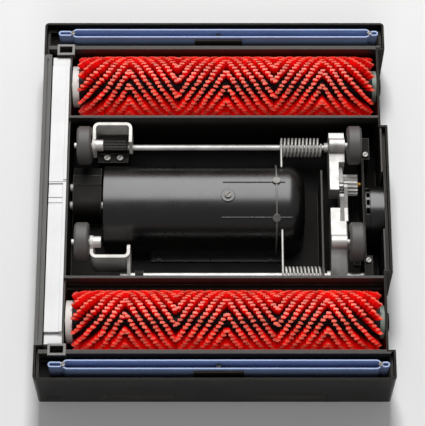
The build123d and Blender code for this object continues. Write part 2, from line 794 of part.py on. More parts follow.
def belt(y0, z0, y1, z1, r0, r1):
    """Closed belt round two pulleys."""
    x0 = pulley_left + (pulley_width - belt_width) / 2
    outer = tie([(y0, z0, r0 + belt_t), (y1, z1, r1 + belt_t)])
    inner = tie([(y0, z0, r0), (y1, z1, r1)])
    return slab(outer - inner, x0, x0 + belt_width)


def drive_case(s):
    """Cast aluminium arm case over one belt, open to the left, with a raised lip on the right."""
    split = case_split + s * case_gap / 2
    end = s * case_end
    outline = patch(split, end, arm_case_bottom, arm_case_top)
    outline = fillet(outline.vertices().filter_by(lambda v: abs(v.X - end) < 1), arm_case_corner)
    case = slab(outline, case_left, case_right)
    w = arm_case_wall
    pocket_end = s * (brush_y + brush_pulley_r + belt_t + w)
    case -= slab(patch(split - s, pocket_end, arm_case_bottom + w, arm_case_top - w), case_left - 1,
                 case_right - w)
    # the outer end steps down beside the pocket
    case -= block(case_left - 1, case_right + 1, end - s * arm_case_step, end + s,
                  arm_case_top - arm_case_step_drop, arm_case_top + 1)
    # raised lip along the right edge
    case += block(case_right - arm_case_lip_width, case_right, split + s * 2, end - s * arm_case_step,
                  arm_case_top - 1, arm_case_top + arm_case_lip)
    if s < 0:
        # joint zone at the motor shaft: two lowered lands and a groove, with a bar between
        for back, width, drop in ((1.6, 14.0, 2.2), (20.5, 6.5, 1.2), (27.0, 3.2, 2.4)):
            case -= block(case_left - 1, case_right - arm_case_lip_width,
                          split - back, split - back - width, arm_case_top - drop, arm_case_top + 1)
    brush = rod(case_left - 1, case_right + 1, s * brush_y, brush_z, spindle_r + running_gap)
    drive = rod(case_left - 1, case_right + 1, lay_y if s > 0 else motor_y, motor_z,
                motor_shaft_r + running_gap)
    return case - brush - drive


def air_drum():
    """Round inlet box at the right with a ladder of windows."""
    wall_x = tray_x - tray_wall
    drum = ring(drum_left, wall_x, drum_y, drum_z, drum_r, drum_r - drum_wall)
    drum += rod(wall_x - 3, wall_x, drum_y, drum_z, drum_r - drum_wall + 0.5)
    drum += ring(drum_left, drum_left + 1.2, drum_y, drum_z, drum_r - drum_wall + 0.5, drum_r * 0.6)
    for n in range(4):
        window = block(drum_left + 1.2, drum_left + drum_ring, -drum_window / 2, drum_window / 2,
                       drum_r - drum_wall - 4, drum_r + 4)
        drum -= around(drum_y, drum_z, 38 - 18 * n, window)
    drum -= ring(drum_left - 1, drum_left + drum_ring + 0.8, drum_y, drum_z, drum_r + 1, drum_r - 1.2)
    return drum & block(drum_left, wall_x, drum_y - drum_r - 1, drum_y + drum_r + 1, floor_z,
                        drum_z + drum_r + 1)


# ---------------------------------------------------------------- brushes
def brush_core(s):
    """Moulded roller that holds the tufts."""
    return ring(brush_left - 2, brush_right, s * brush_y, brush_z, core_r, spindle_r)


def bristles(s):
    """The bristle field as one soft sleeve."""
    return ring(brush_left, brush_right - 0.5, s * brush_y, brush_z, brush_r, core_r)


def brush_spindle(s):
    return rod(pulley_left, end_x - end_cover_t + bush_t - 0.5, s * brush_y, brush_z, spindle_r)


def drive_disc(s):
    """White drive disc at the left end of a brush."""
    x1 = disc_left + hub_disc_t
    disc = ring(disc_left, x1, s * brush_y, brush_z, hub_disc_r, spindle_r)
    for n in range(hub_disc_bores):
        bore = rod(disc_left - 1, x1 + 1, 0, (spindle_r + hub_disc_r) / 2, hub_disc_bore_r)
        disc -= around(s * brush_y, brush_z, 360 / hub_disc_bores * n, bore)
    return disc


def end_hub(s):
    """Grey-green hub at the right end of a brush."""
    return ring(brush_right, brush_right + end_hub_t, s * brush_y, brush_z, end_hub_r, spindle_r)


def bearings():
    """Bushes of the brushes' idle ends, in the end covers."""
    plate_x = end_x - end_cover_t
    return Part() + [ring(plate_x, plate_x + bush_t, s * brush_y, brush_z, bush_r, spindle_r + running_gap)
                     for s in (-1, 1)]


# ---------------------------------------------------------------- wheel lift
def arm_far():
    """Far lift arm: broad bar with a square end, wheel boss and toothed sector."""
    low, high = 180 - far_travel - sector_margin, 180 + sector_margin + 1.5
    at = Pos(lift_far_y, lift_z)
    root = far_pitch_r - 1.15 * gear_module
    tip_y = lift_far_y - far_bar_tip
    bar = tie([(lift_far_y, lift_z, far_boss_r), (lift_far_y + 6.5, wheel_z - 7, 3),
               (tip_y + 1, wheel_z - 1, 1), (tip_y + 4, lift_z - 5, 1)])
    hump = spot(far_wheel_y, wheel_z, wheel_boss_r)
    arm = slab(bar + hump, arm_left, mesh_left)
    wide_part = (bar & patch(lift_far_y - bar_step_far, lift_far_y + 20, 0, 2 * wheel_z)) + hump
    arm += slab(wide_part, mesh_left, arm_left + arm_bar_width)
    teeth = toothed(gear_module, far_teeth, tooth_directions(far_teeth, 180, low + 1, high - 1))
    arm += slab(at * pie(root, low, high) + at * teeth, mesh_left, mesh_right)
    arm -= rod(arm_left - 1, wide_right + 1, lift_far_y, lift_z, lift_shaft_r)
    return arm - rod(arm_left - 1, wide_right + 1, far_wheel_y, wheel_z, wheel_axle_r)


def arm_near():
    """Near lift arm with two toothed sectors, one for the far arm and one for the pinion."""
    low, high = -sector_margin - 1, near_travel + sector_margin
    at = Pos(lift_near_y, lift_z)
    root = near_pitch_r - 1.15 * gear_module
    wide_root = wide_pitch_r - 1.15 * gear_module
    tip_y = lift_near_y + near_bar_tip
    bar = tie([(lift_near_y, lift_z, near_boss_r), (near_wheel_y, wheel_z - 8, 8),
               (tip_y - 1, wheel_z - 1, 1), (tip_y - 1, lift_z - 5, 1)])
    hump = spot(near_wheel_y, wheel_z, wheel_boss_r)
    sector_left = mesh_left + seat_gap
    arm = slab(bar + hump, arm_left, sector_left)
    wide_part = (bar & patch(lift_near_y - 20, lift_near_y + bar_step_near, 0, 2 * wheel_z)) + hump
    arm += slab(wide_part, sector_left, arm_left + arm_bar_width)
    teeth = toothed(gear_module, near_teeth, tooth_directions(near_teeth, 0, low, high - 1, 0.5))
    arm += slab(at * pie(root, low, high) + at * teeth, sector_left, mesh_right)
    arm += slab((at * pie(root, low, high)) & bar, mesh_right, wide_left)
    wide_low, wide_high = pinion_angle - 3.5, pinion_angle + near_travel + 3.5
    wide = toothed(gear_module, wide_teeth,
                   tooth_directions(wide_teeth, pinion_angle, wide_low + 0.6, wide_high - 0.6))
    block_end = bar & patch(lift_near_y + bar_step_near, tip_y + 1, 0, 2 * wheel_z)
    arm += slab(at * pie(wide_root, wide_low, wide_high) + at * wide + block_end, wide_left, wide_right)
    arm -= rod(arm_left - 1, wide_right + 1, lift_near_y, lift_z, lift_shaft_r)
    return arm - rod(arm_left - 1, wide_right + 1, near_wheel_y, wheel_z, wheel_axle_r)


def pinion():
    """Pinion that the height lever turns."""
    phase = 180 + pinion_angle + 180 / pinion_teeth
    return full_gear(pinion_teeth, phase, pinion_left, pinion_right, pinion_y, pinion_z, pinion_axle_r)


def pinion_axle():
    """Brass axle of the pinion with a shouldered end."""
    axle = rod(pinion_left, plate_right + 0.5, pinion_y, pinion_z, pinion_axle_r)
    return axle + rod(pinion_right, pinion_right + pinion_shoulder, pinion_y, pinion_z, pinion_shoulder_r)


def lift_shaft(y):
    """Ground shaft of a lift arm with a collar against the arm."""
    return (rod(shaft_left, shaft_right, y, lift_z, lift_shaft_r)
            + rod(arm_left - shaft_collar, arm_left, y, lift_z, collar_r))


def strap(shaft_y, wheel_y, back, leg_end, z0):
    """Bent strap that carries a left wheel: back, two legs with round bends, wheel eye, shaft eye."""
    s = 1 if back > wheel_y else -1
    front = wheel_y - s * strap_tip
    x0, x1 = strap_left, strap_right
    outer = Pos((x0 + x1) / 2, (front + back) / 2) * Rectangle(x1 - x0, abs(back - front))
    outer = fillet(outer.vertices().filter_by(lambda v: abs(v.Y - back) < 0.1), strap_bend)
    inner_back = back - s * strap_t
    inner = Pos((x0 + x1) / 2, (front - s + inner_back) / 2) * Rectangle(
        x1 - x0 - 2 * strap_t, abs(inner_back - front + s))
    inner = fillet(inner.vertices().filter_by(lambda v: abs(v.Y - inner_back) < 0.1), strap_bend - strap_t)
    body = upright(outer - inner, z0, strap_top)
    # the right leg stops short, the left leg narrows to a round eye
    body -= block(x1 - strap_t - 1, x1 + 1, front - s, leg_end, 0, 2 * strap_top)
    body -= block(x0 - 1, x0 + strap_t + 1, front - s, wheel_y, 0, 2 * strap_top)
    body += slab(tie([(wheel_y, wheel_z, 8), (wheel_y + s * 4, z0 + 9, 8)]), x0, x0 + strap_t)
    mid = back - s * 12
    eye = tie([(shaft_y, lift_z, 8), (mid, z0 + 8, 7.5), (mid, strap_top - 8, 7.5)])
    body += slab(eye, x1 - strap_t, x1)
    body -= rod(x1 - strap_t - 2, x1 + 1, shaft_y, lift_z, lift_shaft_r)
    return body - rod(x0 - 2, x0 + strap_t + 1, wheel_y, wheel_z, wheel_axle_r)


def strap_far():
    return strap(lift_far_y, far_wheel_y, lift_far_y + far_strap_back, lift_far_y - far_strap_leg,
                 far_strap_bottom)


def strap_near():
    return strap(lift_near_y, near_wheel_y, lift_near_y + near_strap_back, lift_near_y + near_strap_leg,
                 near_strap_bottom)


def pillar():
    """Pillar that carries the left end of the near lift shaft."""
    y, r = lift_near_y, pillar_r
    face = tie([(y, lift_z, r), (y, floor_z + r, r)]) + patch(y - r, y + r, floor_z, floor_z + r)
    return slab(face, pillar_x, pillar_x + pillar_t) - rod(pillar_x - 1, pillar_x + pillar_t + 1, y, lift_z,
                                                           lift_shaft_r + running_gap)


def stop_block():
    """Moulded block inside the far strap: a low shelf for its screws and a ribbed top."""
    step, end = block_y + block_step, lift_far_y + block_margin
    body = block(block_left, block_right, block_y, step, floor_z, block_low_z)
    body += block(block_left, block_right, step, end, floor_z, block_high_z)
    for n in range(3):
        y = step + 3 + block_rib_pitch * n
        body += block(block_left + 3, block_right - 3, y, y + 1.2, block_high_z, block_high_z + 1)
    return body - rod(shaft_left - seat_gap, block_right + 1, lift_far_y, lift_z,
                      lift_shaft_r + running_gap)


def stop_block_screws():
    y = block_y + block_step / 2
    return Part() + [screw_up(x, y, block_low_z) for x in (block_left + 11, block_right - 10)]


def bearing_plate():
    """Upright plate with a block at each end, for the right ends of the shafts and the pinion axle."""
    r = plate_margin
    face = tie([(lift_far_y, lift_z, r), (lift_near_y, lift_z, r), (lift_near_y, floor_z + r, r),
                (lift_far_y, floor_z + r, r)])
    face += patch(lift_near_y, lift_far_y, floor_z, floor_z + r)
    plate = slab(face, plate_left, plate_right)
    plate += block(plate_left - 8, plate_left + 1, drum_y - plate_foot_half, drum_y + plate_foot_half,
                   floor_z, floor_z + 3)
    for y0, y1 in bearing_blocks():
        plate += block(plate_left, plate_left + bearing_block, y0, y1, floor_z, lift_z + bearing_block_rise)
    for y in (lift_far_y, lift_near_y):
        plate -= rod(plate_left - 1, shaft_right + seat_gap, y, lift_z, lift_shaft_r + running_gap)
    return plate - rod(plate_left - 1, plate_right + 1, pinion_y, pinion_z, pinion_axle_r + running_gap)


def bearing_blocks():
    """Y ends of the two bearing blocks."""
    return [(lift_far_y - 22, lift_far_y + 7), (lift_near_y - 7, lift_near_y + 21)]


def bearing_screws():
    """Screws on the bearing blocks."""
    z = lift_z + bearing_block_rise
    return Part() + [screw_up(plate_left + 5, y, z, head_r=3.4, head_t=2.2)
                     for y in (lift_far_y - 16, lift_near_y + 15)]


def coil_spring(y, radius):
    """Torsion spring round a lift shaft: its turns, their tie line and the leg to the motor cover."""
    hole = RegularPolygon(radius - spring_wire, spring_sides)
    turn = Pos(y, lift_z) * (RegularPolygon(radius + spring_wire, spring_sides) - hole)
    turns = Part()
    for n in range(spring_turns):
        x = spring_left + spring_pitch * n
        turns += slab(turn, x, x + 2 * spring_wire)
    top = lift_z + radius
    turns += block(spring_left, spring_left + spring_length, y - 1, y + 1, top - spring_wire,
                   top + spring_wire * 0.8)
    s = 1 if y > motor_y else -1
    reach = math.sqrt((cover_r + seat_gap) ** 2 - (top - spring_wire - cover_z) ** 2)
    return turns + block(spring_left, spring_left + 2 * spring_wire, motor_y + s * reach, y,
                         top - spring_wire, top + spring_wire * 0.8)


def tyre(x, y):
    body = ring(x - wheel_width / 2, x + wheel_width / 2, y, wheel_z, wheel_r, wheel_rim_r)
    edges = body.edges().filter_by(GeomType.CIRCLE).group_by(lambda e: e.radius)[-1]
    return chamfer(edges, tread_chamfer)


def wheel_rim(x, y):
    half = wheel_width / 2 - 2
    body = ring(x - half, x + half, y, wheel_z, wheel_rim_r, wheel_axle_r + running_gap)
    for x0, x1 in ((x - half - 1, x - half + 4), (x + half - 4, x + half + 1)):
        body -= ring(x0, x1, y, wheel_z, wheel_rim_r - 2.5, wheel_hub_r)
    return body


def wheel_axles(y):
    """Left axle with its nut inside the strap, and right axle in the arm."""
    nut_x = strap_left + strap_t
    return (rod(wheel_left_x - wheel_width / 2 - 4, nut_x + axle_nut_t, y, wheel_z, wheel_axle_r)
            + rod(nut_x, nut_x + axle_nut_t, y, wheel_z, axle_nut_r)
            + rod(arm_left, plate_left - 0.8, y, wheel_z, wheel_axle_r))


# ---------------------------------------------------------------- handle socket
def handle_socket():
    """Folding socket for the handle tube, hinged at the near edge of the hood."""
    body = rod(-yoke_half, yoke_half, yoke_y, yoke_z, yoke_r)
    body += Pos(0, yoke_y + yoke_length / 2, yoke_z) * Rot(90, 0, 0) * Cylinder(
        yoke_r + yoke_sleeve, yoke_length)
    body -= Pos(0, yoke_y + yoke_length - yoke_socket / 2 + 0.5, yoke_z) * Rot(90, 0, 0) * Cylinder(
        yoke_bore, yoke_socket + 1)
    return body - rod(-yoke_half - 1, yoke_half + 1, yoke_y, yoke_z, yoke_pin_r + running_gap)


def handle_pin():
    return rod(-recess_half - hood_wall, recess_half + hood_wall, yoke_y, yoke_z, yoke_pin_r)


# ---------------------------------------------------------------- the set of parts
def all_parts():
    parts = {
        "hood": hood(),
        "hood_pads": hood_pads(),
        "chassis": chassis(),
        "window_frames": window_frames(),
        "left_side_cover": side_cover(),
        "shoe_screws": shoe_screws(),
        "motor_cover": motor_cover(),
        "bay_screws": motor_cover_screws() + stop_block_screws() + bearing_screws(),
        "motor_strap": motor_strap(),
        "motor_stator": stator(),
        "motor_bells": end_bells(),
        "motor_rotor": rotor(),
        "motor_gear": drive_gear(motor_y, 0),
        "layshaft_gear": drive_gear(lay_y, 180 / drive_teeth),
        "layshaft": layshaft(),
        "gearbox": gearbox(),
        "motor_pulley": pulley(motor_y, motor_z, drive_pulley_r, motor_shaft_r),
        "layshaft_pulley": pulley(lay_y, motor_z, drive_pulley_r, motor_shaft_r),
        "drive_belts": (belt(lay_y, motor_z, brush_y, brush_z, drive_pulley_r, brush_pulley_r)
                        + belt(motor_y, motor_z, -brush_y, brush_z, drive_pulley_r, brush_pulley_r)),
        "air_drum": air_drum(),
        "brush_bearings": bearings(),
        "lift_arm_far": arm_far(),
        "lift_arm_near": arm_near(),
        "lift_pinion": pinion(),
        "pinion_axle": pinion_axle(),
        "lift_shaft_far": lift_shaft(lift_far_y),
        "lift_shaft_near": lift_shaft(lift_near_y),
        "wheel_strap_far": strap_far(),
        "wheel_strap_near": strap_near(),
        "bay_blocks": pillar() + stop_block(),
        "bearing_plate": bearing_plate(),
        "end_covers": end_cover(1) + end_cover(-1),
        "suction_ports": suction_port(1) + suction_port(-1),
        "spring_far": coil_spring(lift_far_y, far_spring_r),
        "spring_near": coil_spring(lift_near_y, near_spring_r),
        "handle_socket": handle_socket(),
        "handle_pin": handle_pin(),
    }
    for name, s in sides.items():
        parts["suction_shoe_" + name] = shoe(s)
        parts["drive_case_" + name] = drive_case(s)
        parts["brush_core_" + name] = brush_core(s)
        parts["bristles_" + name] = bristles(s)
        parts["brush_spindle_" + name] = brush_spindle(s)
        parts["drive_disc_" + name] = drive_disc(s)
        parts["brush_end_hub_" + name] = end_hub(s)
        parts["brush_pulley_" + name] = pulley(s * brush_y, brush_z, brush_pulley_r, spindle_r)
    for end, y in (("far", far_wheel_y), ("near", near_wheel_y)):
        for hand, x in (("left", wheel_left_x), ("right", wheel_right_x)):
            parts["wheel_%s_%s" % (end, hand)] = Compound([tyre(x, y), wheel_rim(x, y)])
        parts["wheel_axles_" + end] = wheel_axles(y)
    return parts


def main():
    os.makedirs("parts", exist_ok=True)
    for name, shape in all_parts().items():
        export_step(shape, "parts/%s.step" % name)


if __name__ == "__main__":
    main()
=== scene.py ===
"""Dresses the powered sweeper head: chevron brushes, coiled springs, a finish for every part."""
import math

import bpy
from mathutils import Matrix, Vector


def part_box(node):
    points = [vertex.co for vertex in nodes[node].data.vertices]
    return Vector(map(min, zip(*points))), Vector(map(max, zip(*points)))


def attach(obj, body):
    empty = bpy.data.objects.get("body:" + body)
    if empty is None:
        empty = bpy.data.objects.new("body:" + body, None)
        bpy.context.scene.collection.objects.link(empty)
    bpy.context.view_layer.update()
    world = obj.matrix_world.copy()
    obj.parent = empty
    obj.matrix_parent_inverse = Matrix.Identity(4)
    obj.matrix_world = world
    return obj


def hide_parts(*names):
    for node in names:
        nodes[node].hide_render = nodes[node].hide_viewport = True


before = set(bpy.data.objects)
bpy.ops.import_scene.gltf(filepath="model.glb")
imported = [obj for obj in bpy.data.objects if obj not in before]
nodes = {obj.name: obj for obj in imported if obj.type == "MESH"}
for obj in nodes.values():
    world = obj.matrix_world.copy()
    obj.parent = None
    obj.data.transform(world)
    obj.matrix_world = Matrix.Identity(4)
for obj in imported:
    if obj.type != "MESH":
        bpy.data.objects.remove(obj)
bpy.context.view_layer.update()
MM = 0.001
MATH = "ShaderNodeMath"
# a Random Value node numbers its inputs and outputs by the kind of value
VECTOR_MIN, VECTOR_MAX, FLOAT_MIN, FLOAT_MAX = 0, 1, 2, 3
FLOAT_OUT = 1


# ---------------------------------------------------------------- helpers
def srgb(hex_colour):
    """An sRGB hex colour as linear RGBA."""
    channels = [int(hex_colour[i:i + 2], 16) / 255 for i in (1, 3, 5)]
    linear = [c / 12.92 if c <= 0.04045 else ((c + 0.055) / 1.055) ** 2.4 for c in channels]
    return (*linear, 1.0)


def put(tree, kind, *values, named=None, **settings):
    """Adds one node with its settings; inputs, by order or name, are values, sockets or nodes."""
    node = tree.nodes.new(kind)
    for name, value in settings.items():
        setattr(node, name, value)
    for key, value in list(enumerate(values)) + list((named or {}).items()):
        if isinstance(value, bpy.types.Node):
            value = value.outputs[0]
        if isinstance(value, bpy.types.NodeSocket):
            tree.links.new(value, node.inputs[key])
        else:
            node.inputs[key].default_value = value
    return node


def new_finish(name):
    """An empty material and its node tree."""
    material = bpy.data.materials.new(name)
    material.use_nodes = True
    material.node_tree.nodes.clear()
    return material, material.node_tree


# ---------------------------------------------------------------- finishes
def moulded(name, colour, edge_wear_and_highlight, roughness, grain_mm=1.2, depth=0.02, specular=0.5, painted_shade_below=None,
            painted_shade_colour=None):
    """Moulded plastic or rubber: cloudy flow marks, spark-eroded grain and paler edges, partly wear
    and partly painted highlight.

    Below the given height, in metres, the skin is rougher and its colour darkens to the painted
    shade colour, painted shade for the recesses.
    """
    flow_per_metre = 28.0       # clouds of flow marks
    edge_radius = 1.0 * MM      # how far the pale edge of wear and painted highlight shows
    fade = 12 * MM              # the height over which the painted shade and the rougher skin set in
    material, tree = new_finish(name)
    place = put(tree, "ShaderNodeTexCoord").outputs["Object"]
    flow = put(tree, "ShaderNodeTexNoise", named={
        "Vector": place, "Scale": flow_per_metre, "Detail": 3.0})
    grain = put(tree, "ShaderNodeTexNoise", named={
        "Vector": place, "Scale": 1 / (grain_mm * MM), "Detail": 2.0})
    rounded = put(tree, "ShaderNodeBevel", edge_radius, samples=4)
    shape = put(tree, "ShaderNodeNewGeometry")
    turn = put(tree, "ShaderNodeVectorMath", rounded, shape.outputs["True Normal"],
               operation="DOT_PRODUCT")
    edge = put(tree, "ShaderNodeMapRange", turn.outputs["Value"], 0.98, 0.8, 0.0, 0.7)
    light = tuple(c * 1.35 for c in srgb(colour)[:3]) + (1.0,)
    body = put(tree, "ShaderNodeMixRGB", flow, srgb(colour), light)
    rough = put(tree, "ShaderNodeMapRange", flow, 0.0, 1.0, roughness - 0.06, roughness + 0.08)
    # below the given height: painted shade darkens the colour, and the skin is rougher
    if painted_shade_below:
        height = put(tree, "ShaderNodeSeparateXYZ", place).outputs["Z"]
        low = put(tree, "ShaderNodeMapRange", height, painted_shade_below, painted_shade_below - fade)
        body = put(tree, "ShaderNodeMixRGB", low, body, srgb(painted_shade_colour))
        rough = put(tree, MATH, low, 0.3, rough, operation="MULTIPLY_ADD")
    # edges take the pale colour: partly wear, partly painted highlight
    paint = put(tree, "ShaderNodeMixRGB", edge, body, srgb(edge_wear_and_highlight))
    bump = put(tree, "ShaderNodeBump", named={
        "Strength": 0.25, "Distance": depth * MM, "Height": grain, "Normal": rounded})
    skin = put(tree, "ShaderNodeBsdfPrincipled", named={
        "Base Color": paint, "Roughness": rough, "Normal": bump, "IOR": 1.5,
        "Specular IOR Level": specular})
    put(tree, "ShaderNodeOutputMaterial", skin)
    return material


def metal(name, colour, dark, roughness, grain_mm=2.0, stretch=(1, 1, 1), depth=0.05, metallic=1.0):
    """Bare metal: slightly uneven colour, and a grain that follows how the surface was made."""
    clouds_per_metre = 45.0     # patches of uneven colour
    edge_radius = 0.8 * MM
    material, tree = new_finish(name)
    place = put(tree, "ShaderNodeTexCoord").outputs["Object"]
    drawn = put(tree, "ShaderNodeMapping", named={"Vector": place, "Scale": stretch})
    grain = put(tree, "ShaderNodeTexNoise", named={
        "Vector": drawn, "Scale": 1 / (grain_mm * MM), "Detail": 4.0, "Roughness": 0.6})
    cloud = put(tree, "ShaderNodeTexNoise", named={
        "Vector": place, "Scale": clouds_per_metre, "Detail": 2.0})
    rounded = put(tree, "ShaderNodeBevel", edge_radius, samples=4)
    tint = put(tree, "ShaderNodeMapRange", cloud, 0.35, 0.7)
    paint = put(tree, "ShaderNodeMixRGB", tint, srgb(dark), srgb(colour))
    rough = put(tree, "ShaderNodeMapRange", grain, 0.0, 1.0, roughness - 0.1, roughness + 0.1)
    bump = put(tree, "ShaderNodeBump", named={
        "Strength": 0.35, "Distance": depth * MM, "Height": grain, "Normal": rounded})
    skin = put(tree, "ShaderNodeBsdfPrincipled", named={
        "Base Color": paint, "Metallic": metallic, "Roughness": rough, "Normal": bump})
    put(tree, "ShaderNodeOutputMaterial", skin)
    return material


def cut_filament(name):
    """Red nylon filament, drawn and cut: a root darkened with painted shade, bright red sides with
    a faint painted glow, and coral cut ends, partly the paler cut and partly painted highlight.
    """
    material, tree = new_finish(name)
    along = put(tree, "ShaderNodeAttribute", attribute_name="along")
    shade = put(tree, "ShaderNodeAttribute", attribute_name="shade")
    body = put(tree, "ShaderNodeValToRGB", along.outputs["Fac"])
    ramp = body.color_ramp
    # colour along the strand: the dark root is painted shade between the tufts, the coral at the
    # cut end is partly the paler cut and partly painted highlight
    ramp.elements[0].color = srgb("#1c0102")
    ramp.elements[1].color = srgb("#ff7c66")
    for stop, colour in ((0.3, "#7a0304"), (0.5, "#d2070a"), (0.7, "#f8100e"), (0.985, "#ff1a16")):
        ramp.elements.new(stop).color = srgb(colour)
    tone = put(tree, "ShaderNodeMapRange", shade.outputs["Fac"], 0.0, 1.0, 0.7, 1.12)
    paint = put(tree, "ShaderNodeHueSaturation", named={"Color": body, "Value": tone})
    # the emission is a painted glow: the strands give off faint light in their own colour, though
    # they are no lamp
    skin = put(tree, "ShaderNodeBsdfPrincipled", named={
        "Base Color": paint, "Roughness": 0.42, "IOR": 1.53, "Subsurface Weight": 0.5,
        "Subsurface Radius": (1.0, 0.08, 0.06), "Subsurface Scale": 3.0 * MM,
        "Emission Color": paint, "Emission Strength": 0.12})
    put(tree, "ShaderNodeOutputMaterial", skin)
    return material


finishes = {
    # black ABS shells, spark-eroded tool: satin, with a pale line on every edge that is partly wear
    # and partly painted highlight
    "housing": moulded("spark_grained_black_abs", "#0c0907", "#8b867e", 0.42, specular=0.12),
    # black ABS tray: polished rims and ribs with pale edges, partly wear and partly painted
    # highlight; below 92 mm a rougher skin darkened almost to black with painted shade
    "tray": moulded("moulded_black_abs", "#2b2927", "#a39e95", 0.34, specular=0.3, painted_shade_below=92 * MM,
                    painted_shade_colour="#080503"),
    # black ABS motor cover, polished tool: the softbox lies on it as one soft-edged grey band
    "gloss": moulded("polished_black_abs", "#0a0908", "#221f1d", 0.27, depth=0.002, specular=1.0),
    # dark grey ABS side cover: satin mid grey
    "side": moulded("moulded_grey_abs", "#33322f", "#a09d98", 0.36),
    # light grey ABS window frames: matt and pale
    "frame": moulded("light_grey_abs", "#6e6c69", "#a9a7a3", 0.45),
    # blue polypropylene shoes: waxy, soft highlights
    "blue": moulded("blue_polypropylene", "#8496bd", "#abbbd9", 0.3, depth=0.01, specular=0.6),
    # acetal discs: clean milky white
    "white": moulded("natural_acetal", "#bfbcb8", "#f4f2ee", 0.4),
    # filled nylon hubs: dull grey green
    "green": moulded("grey_green_nylon", "#66746c", "#a3aea7", 0.45),
    # brush cores, dark ABS: nearly black between the rows
    "core": moulded("black_green_abs", "#0a0e12", "#26352d", 0.55, specular=0.3),
    # tyres, moulded rubber: matt warm grey, no highlight
    "rubber": moulded("moulded_grey_rubber", "#4a4846", "#6d6a67", 0.5, depth=0.05),
    # belts and pads, black rubber: dull and soft-edged
    "black_rubber": moulded("moulded_black_rubber", "#171615", "#2c2a28", 0.7, depth=0.05,
                            specular=0.3),
    # drive cases, painted castings: clean near-white satin with faint orange peel
    "painted": moulded("satin_painted_casting", "#c8c8c8", "#fafafa", 0.38, grain_mm=1.6,
                       depth=0.03),
    # bead-blasted castings: soft silver
    "cast": metal("bead_blasted_cast_aluminium", "#a9a9a9", "#8a8a8a", 0.42, grain_mm=1.6,
                  depth=0.12),
    # ground and turned steel: bright streaks along the bar
    "steel": metal("ground_steel_bar", "#e8e6e3", "#c4c1be", 0.4, grain_mm=1.0,
                   stretch=(1, 12, 12), metallic=0.5),
    # brushed steel lift arms: grey with fine lines along the strip
    "strip": metal("brushed_steel_strip", "#cfcdca", "#a3a19e", 0.46, grain_mm=0.9,
                   stretch=(12, 1, 12), metallic=0.75),
    # dull zinc-plated straps that carry the left wheels: pale, even grey
    "strap": metal("dull_zinc_plated_strip", "#e2dfda", "#c4c1bc", 0.5, grain_mm=0.9,
                   metallic=0.15),
    # dark plated strap round the motor cover
    "gunmetal": metal("phosphated_steel_strip", "#7d7b78", "#646260", 0.5, grain_mm=1.2,
                      metallic=0.6),
    # screws, zinc plated: small bright heads
    "zinc": metal("zinc_plated_steel", "#7f7d7a", "#5c5a57", 0.3, grain_mm=1.5),
    # springs, drawn music wire: tight little highlights turn by turn
    "spring": metal("drawn_spring_wire", "#dedbd7", "#bcb9b4", 0.5, grain_mm=0.8,
                    metallic=0.5),
    # bushes and the pinion axle, turned brass: warm yellow
    "brass": metal("turned_brass", "#b8903f", "#85652b", 0.28, grain_mm=0.8),
    "nylon": cut_filament("cut_red_nylon"),
}

finish_of = {
    "housing": ["hood", "end_covers"],
    "tray": ["chassis", "gearbox", "bay_blocks", "bearing_plate", "suction_ports"],
    "side": ["left_side_cover"],
    "frame": ["window_frames"],
    "gloss": ["motor_cover", "air_drum", "handle_socket"],
    "blue": ["suction_shoe_far", "suction_shoe_near"],
    "white": ["drive_disc_far", "drive_disc_near"],
    "green": ["brush_end_hub_far", "brush_end_hub_near"],
    "core": ["brush_core_far", "brush_core_near"],
    "rubber": ["wheel_far_left", "wheel_far_right", "wheel_near_left", "wheel_near_right"],
    "black_rubber": ["hood_pads", "drive_belts"],
    "painted": ["drive_case_far", "drive_case_near"],
    "cast": ["motor_bells", "motor_pulley", "layshaft_pulley", "brush_pulley_far",
             "brush_pulley_near"],
    "strip": ["lift_arm_far", "lift_arm_near"],
    "strap": ["wheel_strap_far", "wheel_strap_near"],
    "steel": ["lift_shaft_far", "lift_shaft_near", "brush_spindle_far", "brush_spindle_near",
              "layshaft", "motor_gear", "layshaft_gear", "motor_rotor", "motor_stator",
              "lift_pinion", "handle_pin", "wheel_axles_far", "wheel_axles_near"],
    "gunmetal": ["motor_strap"],
    "zinc": ["shoe_screws", "bay_screws"],
    "spring": ["spring_far", "spring_near"],
    "brass": ["pinion_axle", "brush_bearings"],
    "nylon": ["bristles_far", "bristles_near"],
}
for finish, members in finish_of.items():
    for member in members:
        piece = nodes[member]
        piece.data.materials.clear()
        piece.data.materials.append(finishes[finish])


# ---------------------------------------------------------------- growing pieces with node trees
def new_tree(name, sizes):
    """A geometry tree with named inputs for sizes, and its input and output nodes."""
    tree = bpy.data.node_groups.new(name, "GeometryNodeTree")
    tree.interface.new_socket("Geometry", in_out="OUTPUT", socket_type="NodeSocketGeometry")
    for label, kind in sizes:
        tree.interface.new_socket(label, in_out="INPUT", socket_type="NodeSocket" + kind)
    return tree, put(tree, "NodeGroupInput").outputs, put(tree, "NodeGroupOutput")


def grow(tree, name, values, body, stands_for):
    """Runs a tree with its sizes, and keeps the result as one plain mesh on a body."""
    seed_mesh = bpy.data.meshes.new(name + "_seed")
    carrier = bpy.data.objects.new(name + "_carrier", seed_mesh)
    bpy.context.scene.collection.objects.link(carrier)
    modifier = carrier.modifiers.new("grow", "NODES")
    modifier.node_group = tree
    for item in tree.interface.items_tree:
        if item.item_type == "SOCKET" and item.in_out == "INPUT" and item.name in values:
            modifier[item.identifier] = values[item.name]
    carrier.update_tag()
    graph = bpy.context.evaluated_depsgraph_get()
    mesh = bpy.data.meshes.new_from_object(carrier.evaluated_get(graph), depsgraph=graph)
    carrier.modifiers.clear()
    bpy.data.objects.remove(carrier)
    mesh.name = name
    piece = bpy.data.objects.new(name, mesh)
    bpy.context.scene.collection.objects.link(piece)
    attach(piece, body)
    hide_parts(stands_for)


